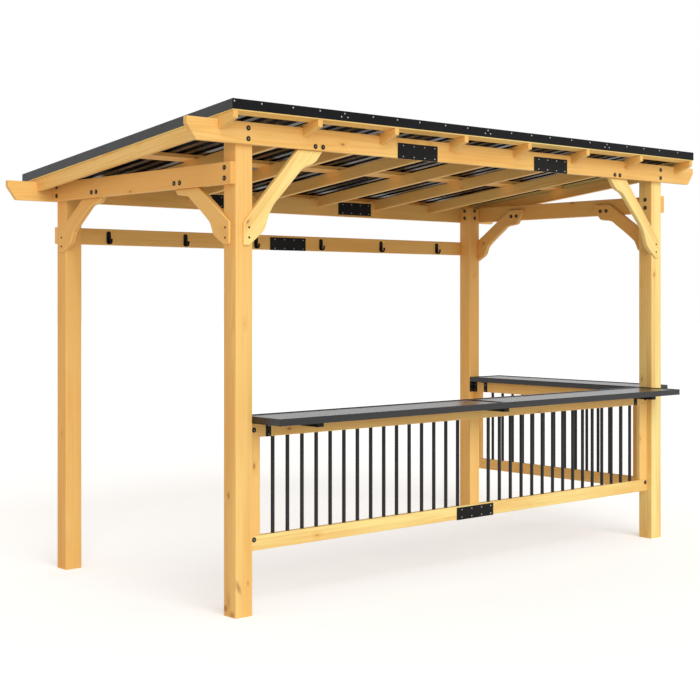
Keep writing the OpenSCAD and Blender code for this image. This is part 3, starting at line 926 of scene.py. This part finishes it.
# The bar: softwood rails and stiles between the posts, with round black steel balusters let into the
# rails. One bolt through each rail end draws it against its post.
left_bolt_in = 0.033
right_bolt_in = 0.021
bolt_rise = 0.017
# The bottom rails' sides away from the front are deeper: painted shade.
bottom_rail_side_shade = 0.3
tube_ease = 0.0005
tube_dark = (0.020, 0.020, 0.020, 1)
tube_light = (0.026, 0.026, 0.026, 1)
for board in ("front_top_rail", "front_stiles"):
    timber(board, board_ease, honey_tints)
timber("side_rails", board_ease, deep_tints)
timber("side_stiles")
for board in ("front_bottom_rail_left", "front_bottom_rail_right"):
    timber(board, board_ease, pale_tints, bottom_rail_side_shade)
tube_black = coated_metal("tube_coating", tube_dark, tube_light,
                          roughness=0.4, speck_size=0.02, sheen=0.2)
for balusters in ("front_balusters", "side_balusters"):
    sheet_metal(balusters, tube_ease, tube_black, steps=1)

top_low, top_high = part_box("front_top_rail")
side_low, side_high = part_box("side_rails")
top_rail_z = (top_low.z + top_high.z) / 2
bottom_bolt_z = (bottom_low.z + bottom_high.z) / 2 + bolt_rise
bar_places = []
for z in (bottom_bolt_z, top_rail_z):
    for x in (top_low.x + left_bolt_in, top_high.x - right_bolt_in):
        bar_places.append(((x, top_low.y, z), (0, -1, 0)))
    for y in (side_low.y + left_bolt_in, side_high.y - right_bolt_in):
        bar_places.append(((side_high.x, y, z), (1, 0, 0)))
bolts(bar_places, "bar_bolts")

# The counters: folded dark steel tops with a low rim, coated in a glossy dark grey that was brushed on
# lengthwise. Their arms, straps and angles are flat black steel, screwed to the rails.
counter_dark = (0.010, 0.010, 0.011, 1)
counter_light = (0.020, 0.019, 0.021, 1)
front_streaks = (0.7, 75, 75)
side_streaks = (75, 0.7, 75)
brush_range = (0.35, 0.7)
brush_strength = 0.2
brush_depth = 0.0002
counter_glossiest = 0.20
counter_dullest = 0.33
counter_sheen = 0.45
counter_ease = 0.0012
bracket_ease = 0.0006


def counter_coating(name, stretch):
    """A glossy coat with faint brush streaks along the counter."""
    material, tree = empty_material(name)
    streaks = noise(tree, object_place(tree), stretch)
    shade = mixed(tree, smooth_step(tree, streaks, *brush_range), counter_dark, counter_light)
    rough = node(tree, "ShaderNodeMapRange", Value=streaks,
                 To_Min=counter_glossiest, To_Max=counter_dullest)
    bump = node(tree, "ShaderNodeBump", Strength=brush_strength, Distance=brush_depth, Height=streaks)
    finish_material(tree, Base_Color=shade, Roughness=rough.outputs["Result"], Normal=bump.outputs[0],
                    Specular_IOR_Level=counter_sheen)
    return material


front_finish = counter_coating("front_counter_coating", front_streaks)
side_finish = counter_coating("side_counter_coating", side_streaks)
for counter in ("front_counter_left", "front_counter_right"):
    sheet_metal(counter, counter_ease, front_finish)
sheet_metal("side_counter", counter_ease, side_finish)
sheet_metal("counter_brackets", bracket_ease, powder_black, steps=1)

strap_in = 0.119
strap_rows = (-0.024, 0.016)
angle_step = 0.022
angle_leg_in = 0.015
front_strap_y = top_low.y - plate_thick
side_strap_x = side_low.x - plate_thick
strap_screws = []
for row in strap_rows:
    z = top_rail_z + row
    for side in (-1, 1):
        strap_screws.append(((side * (top_high.x - strap_in), front_strap_y, z), (0, -1, 0)))
    for end, into in ((side_low.y, 1), (side_high.y, -1)):
        strap_screws.append(((side_strap_x, end + into * strap_in, z), (-1, 0, 0)))
        strap_screws.append(((side_strap_x, end + into * angle_step, z), (-1, 0, 0)))
        strap_screws.append(((side_low.x - angle_leg_in, end + into * plate_thick, z), (0, into, 0)))
# Their heads take the bolt crowns' lighter steel: a painted glint.
joined_copies(small_master, strap_screws, "strap_screws", glint_steel)

# The masters of the fasteners are patterns only, so they are taken away again.
for master in (cup_master, crown_master, screw_master, small_master, plate_master):
    bpy.data.objects.remove(master)
